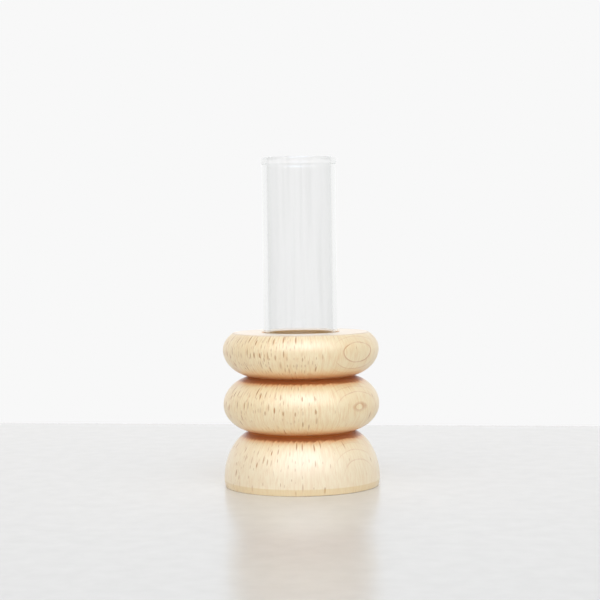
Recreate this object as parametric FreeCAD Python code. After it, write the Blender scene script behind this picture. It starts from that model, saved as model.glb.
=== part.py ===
import FreeCAD, Part
import math
import os

# Test tube vase: a turned beech stand of three stacked forms with a glass tube in its bore.
# Millimetres. Origin on the centre of the stand's underside, +Z up along the tube.
# Half sections are drawn in the XZ plane and turned about Z, as a lathe would cut them.

# Glass tube
tube_diameter = 25.0
tube_length = 100.0
tube_wall = 1.6
lip_swell = 0.3         # how far the fire-polished lip stands proud of the tube
lip_height = 2.4        # height of the rounded bead at the mouth

# Bore that takes the tube
bore_clearance = 0.3    # gap all round the tube
floor_thickness = 10.0  # wood under the tube
seat_clearance = 0.2    # gap between the tube's round end and the floor
mouth_ease = 0.5        # rounded edge where the bore opens in the top face

# Outside of the stand
neck_wall = 4.6         # wood between the bore and the bottom of a groove
bulge_reach = 8.9       # how far each form swells out beyond the grooves
groove_meeting_angle = 75.0  # degrees round its ellipse at which a form meets a groove

# Heights of the three forms, and of the widest line of each above its own underside
base_height = 18.5
base_widest_height = 2.3
middle_ring_height = 18.4
middle_ring_widest_height = 8.9
top_ring_height = 14.8
top_ring_widest_height = 9.1

# The top ring is faced off flat across its upper curve
facing_angle = 46.0     # degrees round its ellipse at which the flat face cuts it
face_ease = 0.6         # rounded edge of the flat face

# Narrow band round the foot, drawn in a little towards the table
band_height = 2.2
band_taper = 0.35       # how much less the radius is at the table
foot_ease = 0.3         # rounded edge where the base meets the table

# Glued joints between the forms: a turned spigot stands in a recess above it
spigot_height = 3.0
spigot_end_gap = 0.2    # glue space over the spigot
spigot_side_gap = 0.1   # glue space round the spigot

# Worked out from the sizes above
tube_radius = tube_diameter / 2
tube_inner_radius = tube_radius - tube_wall
bore_radius = tube_radius + bore_clearance
neck_radius = bore_radius + neck_wall
body_radius = neck_radius + bulge_reach
spigot_radius = (bore_radius + neck_radius) / 2
recess_radius = spigot_radius + spigot_side_gap
recess_depth = spigot_height + spigot_end_gap
lower_joint = base_height
upper_joint = lower_joint + middle_ring_height
stand_top = upper_joint + top_ring_height
tube_bottom = floor_thickness + seat_clearance

# The ellipse behind every swelling form has the same reach in from the widest line
meeting = math.radians(groove_meeting_angle)
facing = math.radians(facing_angle)
bulge_depth = bulge_reach / (1 - math.cos(meeting))

axis_point = FreeCAD.Vector(0, 0, 0)
up = FreeCAD.Vector(0, 0, 1)
full_turn = 360
quarter = math.pi / 2
join_tolerance = 1e-6


def at(radius, height):
    """Point of a half section."""
    return FreeCAD.Vector(radius, 0, height)


def curve(radius, height, across, upright, start, end):
    """Arc of an ellipse about (radius, height); angles in radians, from outwards towards up."""
    if math.isclose(across, upright):
        halfway = (start + end) / 2
        points = [
            at(radius + across * math.cos(angle), height + across * math.sin(angle))
            for angle in (start, halfway, end)
        ]
        return Part.Arc(*points).toShape()
    centre = at(radius, height)
    above = at(radius, height + upright)
    if across > upright:
        ellipse = Part.Ellipse(at(radius + across, height), above, centre)
        turn = 0
    else:
        ellipse = Part.Ellipse(above, at(radius - across, height), centre)
        turn = -quarter
    return Part.ArcOfEllipse(ellipse, start + turn, end + turn).toShape()


def swelling(widest, upright, start, end):
    """Outside of a form from one angle to another, about its widest line."""
    return curve(body_radius - bulge_depth, widest, bulge_depth, upright, start, end)


def turned(*stretches):
    """Solid turned from the stretches of a half section, in order; straight edges join them."""
    edges = []
    following = stretches[1:] + stretches[:1]
    for stretch, after in zip(stretches, following):
        if isinstance(stretch, Part.Shape):
            edges.append(stretch)
            here = stretch.valueAt(stretch.LastParameter)
        else:
            here = stretch
        there = after.valueAt(after.FirstParameter) if isinstance(after, Part.Shape) else after
        if here.distanceToPoint(there) > join_tolerance:
            edges.append(Part.makeLine(here, there))
    return Part.Face(Part.Wire(edges)).revolve(axis_point, up, full_turn)


def circles_through(solid, point):
    """Edges of a turned solid that run through a point of its half section."""
    return [
        edge
        for edge in solid.Edges
        if edge.BoundBox.ZLength < join_tolerance
        and edge.distToShape(Part.Vertex(point))[0] < join_tolerance
    ]


def spigot_on(joint):
    """Top of a piece from its groove in to the bore, with the spigot that enters the next piece."""
    return (
        at(spigot_radius, joint),
        at(spigot_radius, joint + spigot_height),
        at(bore_radius, joint + spigot_height),
    )


def recess_under(joint):
    """Underside of a piece from the bore out to its groove, with the recess for the spigot."""
    return (
        at(bore_radius, joint + recess_depth),
        at(recess_radius, joint + recess_depth),
        at(recess_radius, joint),
    )


def make_base():
    """Domed foot with the closed end of the bore and a narrow band round its bottom edge."""
    upright = (lower_joint - base_widest_height) / math.sin(meeting)
    band_angle = math.asin((band_height - base_widest_height) / upright)
    dome = swelling(base_widest_height, upright, band_angle, meeting)
    foot_radius = dome.valueAt(dome.FirstParameter).x - band_taper
    return turned(
        at(0, 0),
        curve(foot_radius - foot_ease, foot_ease, foot_ease, foot_ease, -quarter, 0),
        dome,
        *spigot_on(lower_joint),
        at(bore_radius, floor_thickness),
        at(0, floor_thickness),
    )


def make_middle_ring():
    """Ring between the two grooves, bored through."""
    below = middle_ring_widest_height
    above = middle_ring_height - below
    widest = lower_joint + below
    return turned(
        *recess_under(lower_joint),
        swelling(widest, below / math.sin(meeting), -meeting, 0),
        swelling(widest, above / math.sin(meeting), 0, meeting),
        *spigot_on(upper_joint),
    )


def make_top_ring():
    """Ring faced off flat on top, where the tube stands out of the bore."""
    below = top_ring_widest_height
    above = top_ring_height - below
    widest = upper_joint + below
    shoulder = swelling(widest, above / math.sin(facing), 0, facing)
    mouth = bore_radius + mouth_ease
    ring = turned(
        *recess_under(upper_joint),
        swelling(widest, below / math.sin(meeting), -meeting, 0),
        shoulder,
        curve(mouth, stand_top - mouth_ease, mouth_ease, mouth_ease, quarter, 2 * quarter),
    )
    rim = shoulder.valueAt(shoulder.LastParameter)
    return ring.makeFillet(face_ease, circles_through(ring, rim))


def make_glass_tube():
    """Round-ended tube of even wall with a rounded lip at its mouth."""
    bowl = tube_bottom + tube_radius
    lip_centre = tube_bottom + tube_length - lip_height / 2
    lip_width = tube_wall + lip_swell
    lip_middle = tube_inner_radius + lip_width / 2
    lip_start = -math.acos((tube_radius - lip_middle) / (lip_width / 2))
    return turned(
        curve(0, bowl, tube_radius, tube_radius, -quarter, 0),
        curve(lip_middle, lip_centre, lip_width / 2, lip_height / 2, lip_start, 2 * quarter),
        curve(0, bowl, tube_inner_radius, tube_inner_radius, 0, -quarter),
    )


def main():
    pieces = {
        "base": make_base(),
        "middle_ring": make_middle_ring(),
        "top_ring": make_top_ring(),
        "glass_tube": make_glass_tube(),
    }
    os.makedirs("parts", exist_ok=True)
    for node, shape in pieces.items():
        shape.exportStep("parts/" + node + ".step")
        print(node, "valid", shape.isValid(), "volume", round(shape.Volume, 1), "mm3", shape.BoundBox)


main()
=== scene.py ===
# %% [markdown]
# A small bud vase: three turned beech forms glued one on another, and a drawn glass tube that
# stands loose in their bore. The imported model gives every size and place, so it is loaded first,
# and each step after that only adds a finish or a finer mesh on top of it.

# %% Load the frame
import math
import bpy
from mathutils import Matrix, Vector


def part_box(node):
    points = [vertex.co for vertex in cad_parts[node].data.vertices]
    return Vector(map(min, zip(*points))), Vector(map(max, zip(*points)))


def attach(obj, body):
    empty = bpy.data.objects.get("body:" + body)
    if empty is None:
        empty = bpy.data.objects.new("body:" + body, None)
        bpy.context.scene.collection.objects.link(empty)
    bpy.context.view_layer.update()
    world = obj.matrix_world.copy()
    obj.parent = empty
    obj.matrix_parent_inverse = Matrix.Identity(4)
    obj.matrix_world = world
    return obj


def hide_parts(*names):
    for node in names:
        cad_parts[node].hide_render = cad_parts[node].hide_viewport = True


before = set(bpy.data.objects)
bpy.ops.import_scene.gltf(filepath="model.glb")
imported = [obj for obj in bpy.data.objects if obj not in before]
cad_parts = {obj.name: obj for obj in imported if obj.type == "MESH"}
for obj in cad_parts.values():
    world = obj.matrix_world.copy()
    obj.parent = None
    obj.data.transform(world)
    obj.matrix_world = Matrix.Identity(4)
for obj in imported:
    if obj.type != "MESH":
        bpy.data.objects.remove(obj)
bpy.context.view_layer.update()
mm = 0.001

# %% [markdown]
# The camera comes first, because every later choice is judged through it. The vase fills a square
# picture from half a metre away, with the lens a little under the tube's mouth. Three things place
# it: how far off the lens is, how high it is, and how many pixels one millimetre of the vase takes.
# A long lens keeps the upright sides nearly parallel, as the eye expects of a small thing.

# %% Camera
eye_distance = 500 * mm
eye_height = 79 * mm
aim_height = 62.4 * mm
aim_right = -0.05 * mm
camera_roll = math.radians(-0.7)
picture_pixels = 600
pixels_per_mm = 2.965

camera_data = bpy.data.cameras.new("camera")
camera_data.sensor_width = 36
focal_pixels = pixels_per_mm * eye_distance / mm
camera_data.lens = focal_pixels / picture_pixels * camera_data.sensor_width
camera_data.clip_start = 10 * mm
camera = bpy.data.objects.new("camera", camera_data)
bpy.context.scene.collection.objects.link(camera)
camera.location = (0, -eye_distance, eye_height)
sight = Vector((aim_right, 0, aim_height)) - camera.location
facing_vase = sight.to_track_quat("-Z", "Y").to_matrix().to_4x4()
roll = Matrix.Rotation(camera_roll, 4, "Z")
camera.matrix_world = Matrix.Translation(camera.location) @ facing_vase @ roll
bpy.context.scene.camera = camera
bpy.context.scene.view_settings.view_transform = "Standard"
print("lens", round(camera_data.lens, 1), "mm")

# %% [markdown]
# Two helpers serve every material. The first turns a colour as a designer writes it, in sRGB hex,
# into the linear numbers that a shader wants. The second adds a node, with its settings and with
# each input either set or linked, so that a material below reads like a recipe.

# %% Helpers for materials


def colour(code):
    """Linear RGBA of an sRGB hex colour."""
    shares = [int(code[i : i + 2], 16) / 255 for i in (1, 3, 5)]
    linear = [s / 12.92 if s <= 0.04045 else ((s + 0.055) / 1.055) ** 2.4 for s in shares]
    return (*linear, 1.0)


def add(tree, kind, inputs=None, out=0, **settings):
    """Adds a node, sets or links its inputs, and gives back one of its outputs."""
    node = tree.nodes.new(kind)
    for name, value in settings.items():
        setattr(node, name, value)
    for name, value in (inputs or {}).items():
        if isinstance(value, bpy.types.NodeSocket):
            tree.links.new(value, node.inputs[name])
        else:
            node.inputs[name].default_value = value
    return node.outputs[out] if node.outputs else node


def new_material(name):
    """Empty node material and its tree."""
    material = bpy.data.materials.new(name)
    material.use_nodes = True
    material.node_tree.nodes.clear()
    return material, material.node_tree


print("middle grey, #808080, is", round(colour("#808080")[0], 3), "in linear light")

# %% [markdown]
# The stand is turned beech, a fine and even hardwood. A picture of wood would have to be wrapped
# round each form, and would smear on the curves. A solid pattern is worked out from the place in
# the wood instead, and the turned surface cuts it just as it cuts real wood. The three forms share
# one pattern, as if sawn in line from one length. Its parts follow one by one: rings, fibres,
# flecks, stain, and the faces where a cut or a finish changes the look. Sizes here are in
# millimetres.

# %% Place in the wood
body_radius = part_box("middle_ring")[1].x / mm
lower_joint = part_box("middle_ring")[0].z / mm
upper_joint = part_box("top_ring")[0].z / mm
stand_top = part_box("top_ring")[1].z / mm
neck_radius = 17.4
bore_radius = 12.8


def place_in_wood(tree):
    """Place, height, distance from the axis, direction outwards, and the place carried outwards."""
    here = add(tree, "ShaderNodeTexCoord", out=3)
    place = add(tree, "ShaderNodeVectorMath", {0: here, "Scale": 1 / mm}, operation="SCALE")
    height = add(tree, "ShaderNodeSeparateXYZ", {0: place}, out=2)
    flat = add(tree, "ShaderNodeVectorMath", {0: place, 1: (1, 1, 0)}, operation="MULTIPLY")
    radius = add(tree, "ShaderNodeVectorMath", {0: flat}, out=1, operation="LENGTH")
    outward = add(tree, "ShaderNodeVectorMath", {0: flat}, operation="NORMALIZE")
    upright = add(tree, "ShaderNodeVectorMath", {0: place, 1: (0, 0, 1)}, operation="MULTIPLY")
    # Carried straight out to the widest radius, a mark keeps its width where a form draws in
    carried = add(
        tree,
        "ShaderNodeVectorMath",
        {0: outward, 1: (body_radius, body_radius, 0), 2: upright},
        operation="MULTIPLY_ADD",
    )
    return place, height, radius, outward, carried


print("stand", round(2 * body_radius, 1), "mm across and", round(stand_top, 1), "mm tall")

# %% [markdown]
# Growth rings. Each ring is a sheet of wood with a denser edge, and far from the heart of the tree
# the sheets are nearly flat. Here they stand upright, lean a little, and face outwards to the right
# of the camera, so that the swelling of each form cuts them into closed ovals there. The distance
# along the sheets' normal, made a little uneven and divided by the spacing, counts the rings.

# %% Growth rings
ring_spacing = 1.6
ring_unevenness = 0.8
ring_wave_size = 18
ring_heading = math.radians(47.5)
grain_slope = 0.032
sheet_normal = (math.sin(ring_heading), -math.cos(ring_heading), grain_slope)
outermost_sheet = body_radius + 0.4 * ring_spacing


def through_rings(tree, place):
    """How far through its growth ring a place is, from 0 at its inner edge to 1 at the outer."""
    deep = add(
        tree, "ShaderNodeVectorMath", {0: place, 1: sheet_normal}, out=1, operation="DOT_PRODUCT"
    )
    wave = add(
        tree,
        "ShaderNodeTexNoise",
        {"Vector": place, "Scale": 1 / ring_wave_size, "Detail": 2.0, "Roughness": 0.5},
    )
    shift = add(
        tree,
        "ShaderNodeMapRange",
        {"Value": wave, "To Min": -ring_unevenness, "To Max": ring_unevenness},
    )
    uneven = add(tree, "ShaderNodeMath", {0: deep, 1: shift}, operation="ADD")
    inside = add(tree, "ShaderNodeMath", {0: uneven, 1: outermost_sheet}, operation="SUBTRACT")
    count = add(tree, "ShaderNodeMath", {0: inside, 1: ring_spacing}, operation="DIVIDE")
    return add(tree, "ShaderNodeMath", {0: count}, operation="FRACT")


print("rings across the stand", round(2 * body_radius / ring_spacing))

# %% [markdown]
# The dense edge of a ring shows as a thin brown line, but only where the sheets face outwards:
# there one sheet fills much of the surface, and elsewhere the rings lie too close and blur. The
# line is also patchy, and no two forms show it alike, so a colour ramp sets how plain it is at each
# height.

# %% Ring lines
ring_patch_size = 4
ring_plainness = (
    (1.0, 0.0),
    (8.0, 0.2),
    (13.0, 0.45),
    (17.0, 0.05),
    (25.5, 0.05),
    (28.0, 0.9),
    (30.0, 0.6),
    (35.0, 0.6),
    (38.0, 0.2),
    (41.0, 0.9),
    (47.0, 0.8),
    (51.0, 0.5),
)


def ring_lines(tree, place, height, through_ring, facing_out):
    """Mask of the thin lines between rings."""
    edge = add(
        tree, "ShaderNodeMapRange", {"Value": through_ring, "From Min": 0.88, "From Max": 0.97}
    )
    oval = add(
        tree,
        "ShaderNodeMapRange",
        {"Value": facing_out, "From Min": 0.92, "From Max": 0.98, "To Min": 0.03, "To Max": 1.0},
    )
    patches = add(
        tree, "ShaderNodeTexNoise", {"Vector": place, "Scale": 1 / ring_patch_size, "Detail": 1.0}
    )
    patchy = add(
        tree,
        "ShaderNodeMapRange",
        {"Value": patches, "From Min": 0.4, "From Max": 0.65, "To Min": 0.5, "To Max": 1.0},
    )
    height_share = add(tree, "ShaderNodeMath", {0: height, 1: stand_top}, operation="DIVIDE")
    plain = add(tree, "ShaderNodeValToRGB", {0: height_share})
    ramp = plain.node.color_ramp
    for stop_height, plain_share in ring_plainness:
        stop = ramp.elements.new(stop_height / stand_top)
        stop.color = (plain_share, plain_share, plain_share, 1)
    ramp.elements.remove(ramp.elements[0])
    ramp.elements.remove(ramp.elements[-1])
    mask = edge
    for weaker in (oval, patchy, plain):
        mask = add(tree, "ShaderNodeMath", {0: mask, 1: weaker}, operation="MULTIPLY")
    return mask


print("ring lines are set at", len(ring_plainness), "heights")

# %% [markdown]
# Fibres run along the length of the wood as fine streaks, with broader and softer clouds of tone
# under them. A noise that is stretched upright gives the streaks. Real fibres are too fine to show
# in a picture of this size, so these are drawn about half a millimetre wide.

# %% Fibres and clouds
fibre_size = (0.4545, 0.4545, 3.333)
cloud_size = 7


def fibres(tree, carried):
    """Noise of upright streaks."""
    drawn_out = add(tree, "ShaderNodeVectorMath", {0: carried, 1: fibre_size}, operation="DIVIDE")
    return add(tree, "ShaderNodeTexNoise", {"Vector": drawn_out, "Scale": 1.0, "Detail": 3.0})


def late_wood_shares(tree, place, through_ring, fibre):
    """Three shares of darker late wood: through each ring, by fibre and by cloud."""
    cloud = add(
        tree, "ShaderNodeTexNoise", {"Vector": place, "Scale": 1 / cloud_size, "Detail": 3.0}
    )
    return [
        add(
            tree,
            "ShaderNodeMapRange",
            {"Value": value, "From Min": begins, "From Max": full, "To Max": most},
        )
        for value, begins, full, most in (
            (through_ring, 0.2, 1.0, 0.12),
            (fibre, 0.42, 0.72, 0.85),
            (cloud, 0.35, 0.7, 0.25),
        )
    ]


print("fibres", round(fibre_size[0], 2), "mm wide, clouds", cloud_size, "mm")

# %% [markdown]
# Rays are thin brown ribbons that stand along the grain and run from the heart of the tree to the
# bark. Where the surface cuts them across their edge they show as short upright flecks, which are
# the mark of beech, and where it faces the same way as the ring sheets they nearly vanish. Drawn
# one by one they would take a long list, so each cell of a cell noise holds one or none: its own
# random colour decides whether there is a fleck, how tall it is and how dark.

# %% Ray flecks


def flecks(tree, carried, cell, width, height, kept):
    """Mask of upright spindles, at most one to a cell."""
    shrunk = add(tree, "ShaderNodeVectorMath", {0: carried, 1: cell}, operation="DIVIDE")
    cells = add(
        tree, "ShaderNodeTexVoronoi", {"Vector": shrunk, "Scale": 1.0, "Randomness": 0.65}
    ).node.outputs
    away = add(
        tree, "ShaderNodeVectorMath", {0: shrunk, 1: cells["Position"]}, operation="SUBTRACT"
    )
    offset = add(tree, "ShaderNodeVectorMath", {0: away, 1: cell}, operation="MULTIPLY")
    sideways = add(
        tree, "ShaderNodeVectorMath", {0: carried, 1: (0, 0, 1)}, operation="CROSS_PRODUCT"
    )
    tangent = add(tree, "ShaderNodeVectorMath", {0: sideways}, operation="NORMALIZE")
    aside = add(
        tree, "ShaderNodeVectorMath", {0: offset, 1: tangent}, out=1, operation="DOT_PRODUCT"
    )
    upright = add(tree, "ShaderNodeSeparateXYZ", {0: offset}, out=2)
    luck = add(tree, "ShaderNodeSeparateColor", {0: cells["Color"]}).node.outputs
    half_height = add(
        tree,
        "ShaderNodeMapRange",
        {"Value": luck[2], "To Min": height / 4, "To Max": height / 2},
    )
    thin = add(tree, "ShaderNodeMath", {0: aside, 1: width / 2}, operation="DIVIDE")
    tall = add(tree, "ShaderNodeMath", {0: upright, 1: half_height}, operation="DIVIDE")
    spindle = add(tree, "ShaderNodeCombineXYZ", {0: thin, 1: tall})
    reach = add(tree, "ShaderNodeVectorMath", {0: spindle}, out=1, operation="LENGTH")
    shape = add(tree, "ShaderNodeMapRange", {"Value": reach, "From Min": 1.1, "From Max": 0.5})
    there = add(tree, "ShaderNodeMath", {0: luck[0], 1: kept}, operation="LESS_THAN")
    depth = add(tree, "ShaderNodeMapRange", {"Value": luck[1], "To Min": 0.25, "To Max": 1.0})
    marked = add(tree, "ShaderNodeMath", {0: there, 1: depth}, operation="MULTIPLY")
    return add(tree, "ShaderNodeMath", {0: shape, 1: marked}, operation="MULTIPLY")


print("one fleck at most to a cell, a quarter to a half of its full height each way")

# %% [markdown]
# Two sizes of fleck lie over each other, since rays differ in height. The small ones are fainter.
# Both grow rarer from the top ring down to the base, which a mask by height does.

# %% Long and small flecks
long_cell = (2.3, 2.3, 4.4)
long_width = 0.6
long_height = 3.2
small_cell = (1.2, 1.2, 2.6)
small_width = 0.35
small_height = 1.8
rare_below = 4


def ray_flecks(tree, height, carried, facing_out):
    """Mask of all flecks."""
    turned_away = add(tree, "ShaderNodeMath", {0: facing_out}, operation="ABSOLUTE")
    kept = add(
        tree,
        "ShaderNodeMapRange",
        {"Value": turned_away, "From Min": 0.5, "From Max": 0.95, "To Min": 0.7, "To Max": 0.04},
    )
    rarer = add(
        tree,
        "ShaderNodeMapRange",
        {
            "Value": height,
            "From Min": rare_below,
            "From Max": stand_top,
            "To Min": 0.35,
            "To Max": 1.3,
        },
    )
    kept = add(tree, "ShaderNodeMath", {0: kept, 1: rarer}, operation="MULTIPLY")
    long_flecks = flecks(tree, carried, long_cell, long_width, long_height, kept)
    small_flecks = flecks(tree, carried, small_cell, small_width, small_height, kept)
    faint = add(tree, "ShaderNodeMath", {0: small_flecks, 1: 0.6}, operation="MULTIPLY")
    return add(tree, "ShaderNodeMath", {0: long_flecks, 1: faint}, operation="MAXIMUM")


print("flecks up to", long_height, "mm tall, one or none to each cell of", long_cell, "mm")

# %% [markdown]
# The grooves are painted darker and browner than the wood. This is painted shade where the forms
# meet: warm on both sides of each joint and dark below it. The painted shade is worked out from the
# distance to the bottom of the groove, so it follows the groove all round. It is made to reach
# along the fibres and into the softer part of each ring, which makes its edge ragged. It lies
# darkest on the form below the joint, a millimetre out from it, and on the form above it is fainter
# but reaches further.

# %% Painted shade in the grooves
shade_streak_size = (0.8333, 0.8333, 5.0)
shade_raggedness = 0.28
shade_reach = 5.4
underside_reach = 8.0
shade_full = 1.6
dark_reach = 3.8
dark_full = 2.6
upper_shade_wider = 0.6


def raggedness(tree, carried, through_ring):
    """How much the edge of the painted groove shade strays, by fibre and by ring."""
    spread = add(
        tree, "ShaderNodeVectorMath", {0: carried, 1: shade_streak_size}, operation="DIVIDE"
    )
    streak = add(tree, "ShaderNodeTexNoise", {"Vector": spread, "Scale": 1.0, "Detail": 2.0})
    by_fibre = add(
        tree,
        "ShaderNodeMapRange",
        {
            "Value": streak,
            "From Min": 0.3,
            "From Max": 0.7,
            "To Min": -shade_raggedness,
            "To Max": shade_raggedness,
        },
    )
    by_ring = add(
        tree,
        "ShaderNodeMapRange",
        {"Value": through_ring, "To Min": shade_raggedness, "To Max": -shade_raggedness},
    )
    return add(tree, "ShaderNodeMath", {0: by_fibre, 1: by_ring}, operation="ADD")


def painted_groove_shade(tree, section, height, strays, joint, wider):
    """Masks of the warm painted shade on both sides of a joint, and of the dark painted shade below
    it.
    """
    away = add(
        tree,
        "ShaderNodeVectorMath",
        {0: section, 1: (neck_radius, joint, 0)},
        out=1,
        operation="DISTANCE",
    )
    ragged = add(tree, "ShaderNodeMath", {0: away, 1: strays}, operation="ADD")
    ragged = add(tree, "ShaderNodeMath", {0: ragged, 1: wider}, operation="SUBTRACT")
    below = add(tree, "ShaderNodeMath", {0: height, 1: joint}, operation="LESS_THAN")
    reach = add(
        tree,
        "ShaderNodeMapRange",
        {"Value": below, "To Min": underside_reach, "To Max": shade_reach},
    )
    near = add(
        tree,
        "ShaderNodeMapRange",
        {"Value": ragged, "From Min": reach, "From Max": shade_full},
        interpolation_type="SMOOTHSTEP",
    )
    held = add(tree, "ShaderNodeMapRange", {"Value": below, "To Min": 0.65, "To Max": 1.0})
    warm = add(tree, "ShaderNodeMath", {0: held, 1: near}, operation="MULTIPLY")
    darkest = add(
        tree,
        "ShaderNodeMapRange",
        {"Value": away, "From Min": 0.3, "From Max": 1.2, "To Min": 0.3, "To Max": 0.95},
    )
    close = add(
        tree,
        "ShaderNodeMapRange",
        {"Value": ragged, "From Min": dark_reach, "From Max": dark_full, "To Max": darkest},
        interpolation_type="SMOOTHSTEP",
    )
    dark = add(tree, "ShaderNodeMath", {0: below, 1: close}, operation="MULTIPLY")
    return warm, dark


# The painted shade in the grooves reaches this far below and above each joint
print("stain reaches", shade_reach, "mm below each joint and", underside_reach, "mm above it")

# %% [markdown]
# Some faces differ from the rest. The base is painted a little paler, as painted light: the white
# light that the table throws up on it, and a whiter sheen. The narrow band round its foot is
# painted yellower and darker, as painted shade near the table. The flat top is cut across the
# fibres, so it shows every ring as a stripe; it is greyer partly as end grain and partly as painted
# shade under the light from above. The bore is left raw, without lacquer, and its deeper tone is
# painted shade of the recess. Each face is told apart by its height or its distance from the axis,
# so no seam has to be painted.

# %% Foot, sawn top and bore
foot_band = 2.2
bounce_light_from = lower_joint + 1
bounce_light_full = lower_joint - 8
edge_softness = 0.15
sawn_from = stand_top - 0.5
sawn_full = stand_top - 0.1
stripes_from = stand_top - 0.3
stripes_full = stand_top - 0.05
bore_from = bore_radius + 0.6
bore_full = bore_radius + 0.3
stripes_end = bore_radius + 0.4


def face_shares(tree, height, radius):
    """Masks of the base's painted light, the foot band's painted shade, the sawn top and the bore's
    painted shade.
    """
    return [
        add(
            tree,
            "ShaderNodeMapRange",
            {"Value": value, "From Min": begins, "From Max": full, "To Max": most},
        )
        for value, begins, full, most in (
            # Painted light on the base, strongest towards the table
            (height, bounce_light_from, bounce_light_full, 0.25),
            # Painted shade on the foot's band
            (height, foot_band + edge_softness, foot_band - edge_softness, 0.45),
            # End grain on the sawn top, greyed further as painted shade
            (height, sawn_from, sawn_full, 0.75),
            # Painted shade in the bore
            (radius, bore_from, bore_full, 1.0),
        )
    ]


def top_stripes(tree, height, radius, through_ring):
    """Mask of the late wood of each ring on the sawn top."""
    sawn = add(
        tree,
        "ShaderNodeMapRange",
        {"Value": height, "From Min": stripes_from, "From Max": stripes_full},
    )
    stripe = add(
        tree,
        "ShaderNodeMapRange",
        {"Value": through_ring, "From Min": 0.35, "From Max": 1.0, "To Max": 0.45},
    )
    striped = add(tree, "ShaderNodeMath", {0: sawn, 1: stripe}, operation="MULTIPLY")
    outside = add(tree, "ShaderNodeMath", {0: radius, 1: stripes_end}, operation="GREATER_THAN")
    return add(tree, "ShaderNodeMath", {0: striped, 1: outside}, operation="MULTIPLY")


print("foot band up to", foot_band, "mm, sawn top from", round(sawn_from, 1), "mm")

# %% [markdown]
# The colours are sRGB hex. They start from the usual pale straw of unsteamed beech and were matched
# to the vase through renders. Late wood is a deeper tone of the same hue, the lines and flecks go
# on to brown, and so does the painted shade in the grooves. The cut top is greyer, partly because
# open fibre ends scatter the light and partly as painted shade. The paler base is painted light,
# and the foot's band and the bore carry painted shade.

# %% Colours of the beech
beech_pale = colour("#FAE7BB")
beech_late = colour("#ECC890")
# Painted light on the base
beech_painted_bounce_light = colour("#F9F1E2")
beech_ring_line = colour("#C27412")
beech_fleck = colour("#B47400")
# Painted shade in the grooves, warm and dark
beech_warm_groove_shade = colour("#EC9C44")
beech_dark_groove_shade = colour("#9E521C")
# Painted shade on the foot's band
beech_foot_shade = colour("#E4C27C")
# End grain, greyed further as painted shade
beech_end_grain_and_shade = colour("#DAC3AE")
# Painted shade in the bore
beech_bore_shade = colour("#EDB677")

print("beech colours, palest", [round(c, 2) for c in beech_pale[:3]])

# %% [markdown]
# Turned beech, sanded and sealed with a clear satin lacquer. To the eye that is a pale, warm and
# lively wood under a soft, broad sheen. The parts are laid over each other: the wood's own tones,
# its lines and flecks, the painted shade in the grooves, and the cut faces with their painted light
# and shade. Each coat mixes in one colour by one mask, so a list of pairs reads like the work
# itself. A clear coat over the wood does for the lacquer. Its IOR starts from the 1.5 of lacquer
# and was raised until the sheen was as strong as the vase's.

# %% Turned beech
lacquer_from = bore_radius + 0.1
lacquer_full = bore_radius + 0.5


def turned_beech():
    """Material of all three forms of the stand."""
    material, tree = new_material("turned beech, satin lacquered")
    place, height, radius, outward, carried = place_in_wood(tree)
    through_ring = through_rings(tree, place)
    facing_out = add(
        tree, "ShaderNodeVectorMath", {0: outward, 1: sheet_normal}, out=1, operation="DOT_PRODUCT"
    )
    fibre = fibres(tree, carried)
    fleck = ray_flecks(tree, height, carried, facing_out)
    line = ring_lines(tree, place, height, through_ring, facing_out)
    section = add(tree, "ShaderNodeCombineXYZ", {0: radius, 1: height})
    strays = raggedness(tree, carried, through_ring)
    base, foot, sawn, bore = face_shares(tree, height, radius)
    stripes = top_stripes(tree, height, radius, through_ring)

    late_shares = late_wood_shares(tree, place, through_ring, fibre)
    coats = [(share, beech_late) for share in late_shares]
    # The pale base is painted light
    coats += [(base, beech_painted_bounce_light), (line, beech_ring_line), (fleck, beech_fleck)]
    # Painted shade in each groove: warm on both sides of the joint, dark below it
    for joint, wider in ((lower_joint, 0.0), (upper_joint, upper_shade_wider)):
        warm, dark = painted_groove_shade(tree, section, height, strays, joint, wider)
        coats += [(warm, beech_warm_groove_shade), (dark, beech_dark_groove_shade)]
    # Painted shade on the foot's band and in the bore; the sawn top is end grain, greyed further by
    # painted shade
    coats += [(foot, beech_foot_shade), (sawn, beech_end_grain_and_shade), (bore, beech_bore_shade)]
    coats.append((stripes, beech_late))
    wood = beech_pale
    for mask, tint in coats:
        wood = add(tree, "ShaderNodeMix", {0: mask, 6: wood, 7: tint}, out=2, data_type="RGBA")

    # Fibres stand a hair proud of the flecks under the lacquer, and make it a little uneven
    roughness = add(tree, "ShaderNodeMapRange", {"Value": fibre, "To Min": 0.36, "To Max": 0.46})
    relief = add(tree, "ShaderNodeMath", {0: fleck, 1: fibre}, operation="SUBTRACT")
    bump = add(
        tree,
        "ShaderNodeBump",
        {"Strength": 0.25, "Distance": 0.02 * mm, "Height": relief},
        invert=True,
    )
    # The lacquer stops at the mouth of the bore
    lacquer = add(
        tree,
        "ShaderNodeMapRange",
        {"Value": radius, "From Min": lacquer_from, "From Max": lacquer_full},
    )
    shader = add(
        tree,
        "ShaderNodeBsdfPrincipled",
        {
            "Base Color": wood,
            "Roughness": roughness,
            "IOR": 1.5,
            "Specular IOR Level": 0.5,
            "Normal": bump,
            "Coat Weight": lacquer,
            "Coat Roughness": 0.43,
            "Coat IOR": 1.85,
        },
    )
    add(tree, "ShaderNodeOutputMaterial", {"Surface": shader})
    return material, len(coats)


beech, coat_count = turned_beech()
for node in ("base", "middle_ring", "top_ring"):
    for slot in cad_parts[node].material_slots:
        slot.material = beech
print("beech in", coat_count, "coats on base, middle ring and top ring")

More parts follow.
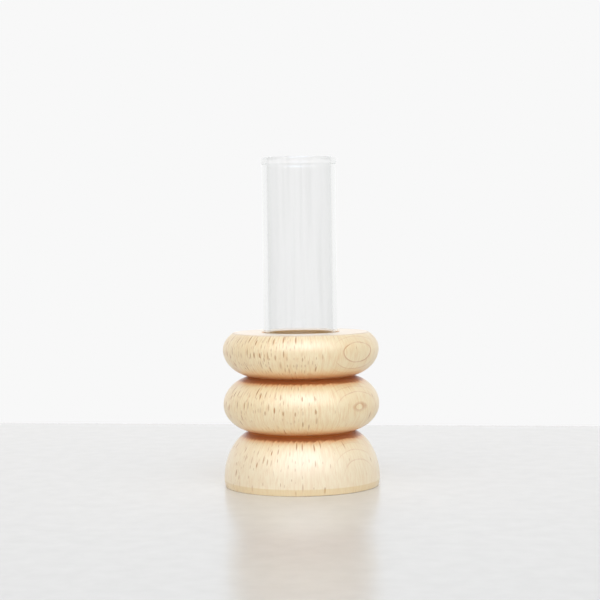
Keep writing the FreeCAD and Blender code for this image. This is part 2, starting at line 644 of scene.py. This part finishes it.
# %% [markdown]
# The tube is drawn glass, closed by blowing and with its cut end melted round. Glass shows only
# what it bends and mirrors, so its mesh matters more than its colour: an even wall with an inner
# and an outer skin, a round end, and a lip that swells a little before it turns in. The melt rounds
# only the corners of the lip, so its bead is a squared oval: a true oval would bend the dark bore
# into a black line along the mouth. The half section is a list of points from the axis round the
# outer skin, over the lip and back down the inner skin.

# %% Half section of the tube
tube_low, tube_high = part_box("glass_tube")
tube_radius = 12.5 * mm
tube_inner_radius = 10.9 * mm
wall_middle = (tube_radius + tube_inner_radius) / 2
lip_swell = tube_high.x - tube_radius
lip_height = 2.4 * mm
lip_run = 1.2 * mm
lip_squareness = 4.0
lip_middle = (tube_inner_radius + tube_high.x) / 2
lip_across = (tube_high.x - tube_inner_radius) / 2
lip_centre = tube_high.z - lip_height / 2
swell_start = lip_centre - lip_run
bowl = tube_low.z + tube_radius
round_steps = 40
wall_steps = 12
swell_steps = 8
bead_steps = 32


def quarter_round(radius, start, end):
    """Points of the tube's round end in a half section; angles in degrees from outwards to up."""
    angles = [math.radians(start + (end - start) * i / round_steps) for i in range(round_steps + 1)]
    return [(radius * math.cos(a), bowl + radius * math.sin(a)) for a in angles]


def straight(radius, low, high):
    """Points of an upright wall, without its ends."""
    return [(radius, low + (high - low) * i / wall_steps) for i in range(1, wall_steps)]


def swell():
    """Points from the straight wall out to the widest line of the lip, without the last."""
    points = []
    for i in range(swell_steps):
        bulge = 0.5 - 0.5 * math.cos(math.pi * i / swell_steps)
        points.append((tube_radius + lip_swell * bulge, swell_start + lip_run * i / swell_steps))
    return points


def squared_bead():
    """Points over the top of the lip, which is rounded at its corners only."""
    power = 2 / lip_squareness
    points = []
    for i in range(bead_steps + 1):
        angle = math.pi * i / bead_steps
        aside = math.copysign(abs(math.cos(angle)) ** power, math.cos(angle))
        upwards = math.sin(angle) ** power
        points.append((lip_middle + lip_across * aside, lip_centre + lip_height / 2 * upwards))
    return points


tube_outline = (
    quarter_round(tube_radius, -90, 0)
    + straight(tube_radius, bowl, swell_start)
    + swell()
    + squared_bead()
    + straight(tube_inner_radius, lip_centre, bowl)
    + quarter_round(tube_inner_radius, 0, -90)
)
print("half section has", len(tube_outline), "points")

# %% [markdown]
# Drawing the glass leaves faint waves along the inner skin. They are too shallow to see, but they
# break what shows through the tube into soft upright bands, which a perfect cylinder would not do.
# So the section is turned here point by point, with the waves added to the inner radius.

# %% Tube mesh
segments = 256
broad_wave = 0.018 * mm
fine_wave = 0.01 * mm


def drawn_ripple(radius, angle):
    """Waves of the inner skin: three broad ones and eight fine ones round the tube."""
    if radius > wall_middle:
        return 0
    waves = broad_wave * math.sin(3 * angle + 1) + fine_wave * math.sin(8 * angle + 2)
    return waves * min(1, radius / tube_inner_radius)


def turned_mesh(name, outline, ripple):
    """Mesh turned from a half section; a point on the axis becomes one vertex."""
    points, rings = [], []
    for radius, height in outline:
        on_axis = radius < 1e-9
        turns = 1 if on_axis else segments
        rings.append(range(len(points), len(points) + turns))
        for i in range(turns):
            angle = 2 * math.pi * i / segments
            r = 0 if on_axis else radius + ripple(radius, angle)
            points.append((r * math.cos(angle), r * math.sin(angle), height))
    faces = []
    for lower, upper in zip(rings, rings[1:]):
        for i in range(segments):
            j = (i + 1) % segments
            corners = [lower[i % len(lower)], lower[j % len(lower)]]
            corners += [upper[j % len(upper)], upper[i % len(upper)]]
            faces.append(list(dict.fromkeys(corners)))
    mesh = bpy.data.meshes.new(name)
    mesh.from_pydata(points, [], faces)
    mesh.validate()
    mesh.shade_smooth()
    return mesh


tube_mesh = turned_mesh("glass_tube_drawn", tube_outline, drawn_ripple)
print("tube has", len(tube_mesh.vertices), "points and", len(tube_mesh.polygons), "faces")

# %% [markdown]
# Borosilicate glass, drawn and left as it cooled: clear and hard, with a smooth skin that mirrors
# more the more the sight grazes it. Its IOR is 1.474. The wall takes a little light, so it greys
# where sight runs along it, and drawing leaves long faint streaks a few millimetres apart. Both are
# put in the colour that the skin lets through. Two things keep the picture calm: light reaches the
# bore straight through the wall instead of by chance bends, and a ray that is caught inside the
# wall goes straight out after the four skins that sight passes, instead of dying in the dark of the
# bore.

# %% Drawn glass
streak_width = 2.5 * mm
streak_length = 50 * mm
bounces_kept = 3


def streaky_share(tree, here, flat):
    """Share of grey in the long streaks that drawing leaves."""
    around = add(tree, "ShaderNodeVectorMath", {0: flat}, operation="NORMALIZE")
    along = add(
        tree, "ShaderNodeVectorMath", {0: here, 1: (0, 0, 1 / streak_length)}, operation="MULTIPLY"
    )
    turns = tube_radius / streak_width
    wound = add(
        tree,
        "ShaderNodeVectorMath",
        {0: around, 1: (turns, turns, 0), 2: along},
        operation="MULTIPLY_ADD",
    )
    streaks = add(tree, "ShaderNodeTexNoise", {"Vector": wound, "Scale": 1.0, "Detail": 2.0})
    return add(
        tree,
        "ShaderNodeMapRange",
        {"Value": streaks, "From Min": 0.48, "From Max": 0.72, "To Max": 0.1},
    )


def dull_share(tree, flat):
    """Share of grey where sight grazes the inner skin."""
    radius = add(tree, "ShaderNodeVectorMath", {0: flat}, out=1, operation="LENGTH")
    inner = add(tree, "ShaderNodeMath", {0: radius, 1: wall_middle}, operation="LESS_THAN")
    grazing = add(tree, "ShaderNodeLayerWeight", {"Blend": 0.5}, out=1)
    steep = add(tree, "ShaderNodeMath", {0: grazing, 1: 3.0}, operation="POWER")
    return add(tree, "ShaderNodeMath", {0: steep, 1: inner}, operation="MULTIPLY")


def clear_glass():
    """Material of the tube."""
    material, tree = new_material("drawn borosilicate glass")
    here = add(tree, "ShaderNodeTexCoord", out=3)
    flat = add(tree, "ShaderNodeVectorMath", {0: here, 1: (1, 1, 0)}, operation="MULTIPLY")
    dull = dull_share(tree, flat)
    streaky = streaky_share(tree, here, flat)
    greyed = add(tree, "ShaderNodeMath", {0: dull, 1: streaky}, operation="MAXIMUM")
    skin = add(
        tree,
        "ShaderNodeMix",
        {0: greyed, 6: colour("#FFFFFF"), 7: colour("#B8BCBA")},
        out=2,
        data_type="RGBA",
    )
    glass = add(
        tree,
        "ShaderNodeBsdfPrincipled",
        {"Base Color": skin, "Roughness": 0.0, "IOR": 1.474, "Transmission Weight": 1.0},
    )
    let_through = add(tree, "ShaderNodeBsdfTransparent", {"Color": colour("#F4F6F5")})
    route = add(tree, "ShaderNodeLightPath").node.outputs
    caught = add(
        tree,
        "ShaderNodeMath",
        {0: route["Ray Depth"], 1: bounces_kept},
        operation="GREATER_THAN",
    )
    straight_on = add(
        tree, "ShaderNodeMath", {0: route["Is Shadow Ray"], 1: caught}, operation="MAXIMUM"
    )
    surface = add(tree, "ShaderNodeMixShader", {0: straight_on, 1: glass, 2: let_through})
    body = add(
        tree, "ShaderNodeVolumeAbsorption", {"Color": colour("#E6E8E7"), "Density": 50.0}
    )
    add(tree, "ShaderNodeOutputMaterial", {"Surface": surface, "Volume": body})
    return material


tube = bpy.data.objects.new("glass_tube_drawn", tube_mesh)
bpy.context.scene.collection.objects.link(tube)
tube_mesh.materials.append(clear_glass())
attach(tube, "tube")
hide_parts("glass_tube")
print("tube stands from", round(tube_low.z / mm, 1), "to", round(tube_high.z / mm, 1), "mm")

# %% [markdown]
# The floor is a pale table that ends behind the vase, so the picture has the two tones of a real
# shelf against a wall. Its top is smooth laminate, printed in a faint cloudy pattern and polished:
# to the eye nearly plain, with a soft reflection of the vase and a soft shadow under it.

# %% Table finish
print_cloud_size = 7 * mm


def pale_table():
    """Material of the table's top."""
    material, tree = new_material("polished pale laminate")
    here = add(tree, "ShaderNodeTexCoord", out=3)
    clouds = add(
        tree, "ShaderNodeTexNoise", {"Vector": here, "Scale": 1 / print_cloud_size, "Detail": 4.0}
    )
    cloudy = add(tree, "ShaderNodeMapRange", {"Value": clouds, "From Min": 0.3, "From Max": 0.7})
    print_colour = add(
        tree,
        "ShaderNodeMix",
        {0: cloudy, 6: colour("#EEEFF0"), 7: colour("#E8E9EA")},
        out=2,
        data_type="RGBA",
    )
    shader = add(
        tree,
        "ShaderNodeBsdfPrincipled",
        {"Base Color": print_colour, "Roughness": 0.2, "IOR": 1.7},
    )
    add(tree, "ShaderNodeOutputMaterial", {"Surface": shader})
    return material


laminate = pale_table()
print("table finish is", laminate.name)

# %% [markdown]
# The table is one flat face, turned a little about its far edge, because the edge in the picture
# isn't quite square to the sight.
# It is part of the set and no part of the vase.

# %% Table
table_behind = 172 * mm
table_front = 1200 * mm
table_half_width = 1200 * mm
table_yaw = math.radians(-8.6)

corners = [
    (-table_half_width, -table_front, 0),
    (table_half_width, -table_front, 0),
    (table_half_width, table_behind, 0),
    (-table_half_width, table_behind, 0),
]
table_mesh = bpy.data.meshes.new("table")
table_mesh.from_pydata(corners, [], [(0, 1, 2, 3)])
table_mesh.materials.append(laminate)
table = bpy.data.objects.new("table", table_mesh)
far_edge = Matrix.Translation((0, table_behind, 0))
table.matrix_world = far_edge @ Matrix.Rotation(table_yaw, 4, "Z") @ far_edge.inverted()
bpy.context.scene.collection.objects.link(table)
print("table ends", round(table_behind / mm), "mm behind the vase")

# %% [markdown]
# Light, first the room. Glass shows whatever stands round it, and a plain white room would leave it
# unseen, so the room is bright behind the vase and overhead, and dimmer low on the camera's side:
# that dimness draws the tube's edges. Real walls could be modelled, but the world alone can do it,
# because a ray's direction says which part of the room it meets.

# %% Directions in the room
world = bpy.data.worlds.new("studio")
world.use_nodes = True
bpy.context.scene.world = world
room = world.node_tree
room.nodes.clear()
ray = add(room, "ShaderNodeLightPath").node.outputs
direction = add(room, "ShaderNodeTexCoord")
sideways, backwards, upwards = add(room, "ShaderNodeSeparateXYZ", {0: direction}).node.outputs
print("room is", world.name)

# %% [markdown]
# The walls that glass and lacquer meet. What is mirrored runs from dim to brighter than the
# picture, which gives the skin of the glass its contrast. What is seen through the glass runs less
# far, so that the tube stays nearly as pale as the wall behind it. Below the horizon the far side
# is a little dimmer, as a floor is. All are blended by the ray's direction, which is simpler than
# walls of real faces and throws no shadow.

# %% Walls for glass and lacquer
floor_share = 0.8
mirrored_dim = 0.45
mirrored_bright = 1.07
through_glass_dim = 0.85
through_glass_bright = 0.94

behind = add(
    room,
    "ShaderNodeMapRange",
    {"Value": backwards, "From Min": 0.0, "From Max": 0.65},
    interpolation_type="SMOOTHSTEP",
)
above = add(
    room,
    "ShaderNodeMapRange",
    {"Value": upwards, "From Min": 0.05, "From Max": 0.4},
    interpolation_type="SMOOTHSTEP",
)
over_floor = add(
    room,
    "ShaderNodeMapRange",
    {"Value": upwards, "From Min": -0.06, "From Max": 0.0, "To Min": floor_share, "To Max": 1.0},
)
behind = add(room, "ShaderNodeMath", {0: behind, 1: over_floor}, operation="MULTIPLY")
bright = add(room, "ShaderNodeMath", {0: behind, 1: above}, operation="MAXIMUM")
through = ray["Is Transmission Ray"]
dimmest = add(
    room,
    "ShaderNodeMapRange",
    {"Value": through, "To Min": mirrored_dim, "To Max": through_glass_dim},
)
brightest = add(
    room,
    "ShaderNodeMapRange",
    {"Value": through, "To Min": mirrored_bright, "To Max": through_glass_bright},
)
wall_level = add(
    room, "ShaderNodeMapRange", {"Value": bright, "To Min": dimmest, "To Max": brightest}
)
walls = add(room, "ShaderNodeBackground", {"Color": colour("#FFFFFF"), "Strength": wall_level})
print("mirrored walls run from", mirrored_dim, "to", mirrored_bright, "of the picture's white")

# %% [markdown]
# A wide window high on the camera's side gives each form its broad pale sheen. It is a soft round
# glow about one direction, so that its edge never shows as a shape in the lacquer.

# %% Window
window_heading = Vector((0.03, -0.62, 0.78)).normalized()
facing_window = add(
    room, "ShaderNodeVectorMath", {0: direction, 1: window_heading}, out=1, operation="DOT_PRODUCT"
)
window = add(
    room,
    "ShaderNodeMapRange",
    {"Value": facing_window, "From Min": 0.66, "From Max": 0.97, "To Max": 2.15},
    interpolation_type="SMOOTHSTEP",
)
daylight = add(room, "ShaderNodeBackground", {"Color": colour("#DCE2FF"), "Strength": window})
mirrored_room = add(room, "ShaderNodeAddShader", {0: walls, 1: daylight})
print("window stands", round(math.degrees(math.asin(window_heading.z))), "degrees up")

# %% [markdown]
# The light that falls on matt surfaces is plainer. It is strongest from the camera's side, so that
# the undersides of the forms show too, weaker overhead, and a little cooler in front than behind.

# %% Light of the room
from_front = add(
    room,
    "ShaderNodeMapRange",
    {"Value": backwards, "From Min": 0.3, "From Max": -0.9, "To Min": 0.6, "To Max": 1.35},
    interpolation_type="SMOOTHSTEP",
)
under_ceiling = add(
    room,
    "ShaderNodeMapRange",
    {"Value": upwards, "From Min": 0.1, "From Max": 0.9, "To Min": 1.0, "To Max": 0.6},
)
level = add(room, "ShaderNodeMath", {0: from_front, 1: under_ceiling}, operation="MULTIPLY")
cooler = add(
    room, "ShaderNodeMapRange", {"Value": backwards, "From Min": 0.0, "From Max": -1.0}
)
room_tint = add(
    room,
    "ShaderNodeMix",
    {0: cooler, 6: colour("#FFF2E0"), 7: colour("#EEF2FF")},
    out=2,
    data_type="RGBA",
)
ambient = add(room, "ShaderNodeBackground", {"Color": room_tint, "Strength": level})
print("light of the room is strongest from the camera's side")

# %% [markdown]
# The parts of the room are chosen ray by ray. Glass and lacquer send out mirrored and bent rays,
# and these meet the walls and the window. Matt surfaces meet the plainer light. The camera's own
# rays meet a near-white backdrop, which could be a painted wall, but so it is even from every side.

# %% What each ray sees
bent = add(
    room,
    "ShaderNodeMath",
    {0: ray["Is Glossy Ray"], 1: ray["Is Transmission Ray"]},
    operation="MAXIMUM",
)
backdrop = add(room, "ShaderNodeBackground", {"Color": colour("#F8F8F8"), "Strength": 1.0})
off_the_vase = add(room, "ShaderNodeMixShader", {0: bent, 1: ambient, 2: mirrored_room})
seen = add(room, "ShaderNodeMixShader", {0: ray["Is Camera Ray"], 1: off_the_vase, 2: backdrop})
add(room, "ShaderNodeOutputWorld", {"Surface": seen})
print("room has", len(room.nodes), "nodes")

# %% [markdown]
# Then four broad lamps, all weak, at a level where a colour renders about as it is written. The key
# stands high in front and models the forms. The back lamp brightens the table behind the vase, high
# enough that the camera never meets its reflection. Two warm ones left and right keep the sides of
# the wood from greying.

# %% Lamps
lamp_aim = Vector((0, 0, 40 * mm))


def soft_lamp(name, place, size, watts, tint):
    """Square area lamp that faces the middle of the vase."""
    data = bpy.data.lights.new(name, "AREA")
    data.shape = "SQUARE"
    data.size = size
    data.energy = watts
    data.color = colour(tint)[:3]
    lamp = bpy.data.objects.new(name, data)
    lamp.location = place
    lamp.rotation_euler = (lamp_aim - lamp.location).to_track_quat("-Z", "Y").to_euler()
    bpy.context.scene.collection.objects.link(lamp)
    return lamp


lamps = [
    soft_lamp("key", (0.12, -0.95, 1.1), 0.8, 4.1, "#C4E6FF"),
    soft_lamp("back", (0.0, 1.1, 1.0), 0.8, 3.2, "#F4FAFF"),
    soft_lamp("left", (-0.9, -1.0, 0.7), 0.5, 1.2, "#FFEFDA"),
    soft_lamp("right", (0.9, -1.0, 0.7), 0.5, 1.0, "#FFEFDA"),
]
print("lamps", sum(lamp.data.energy for lamp in lamps), "watts in all")
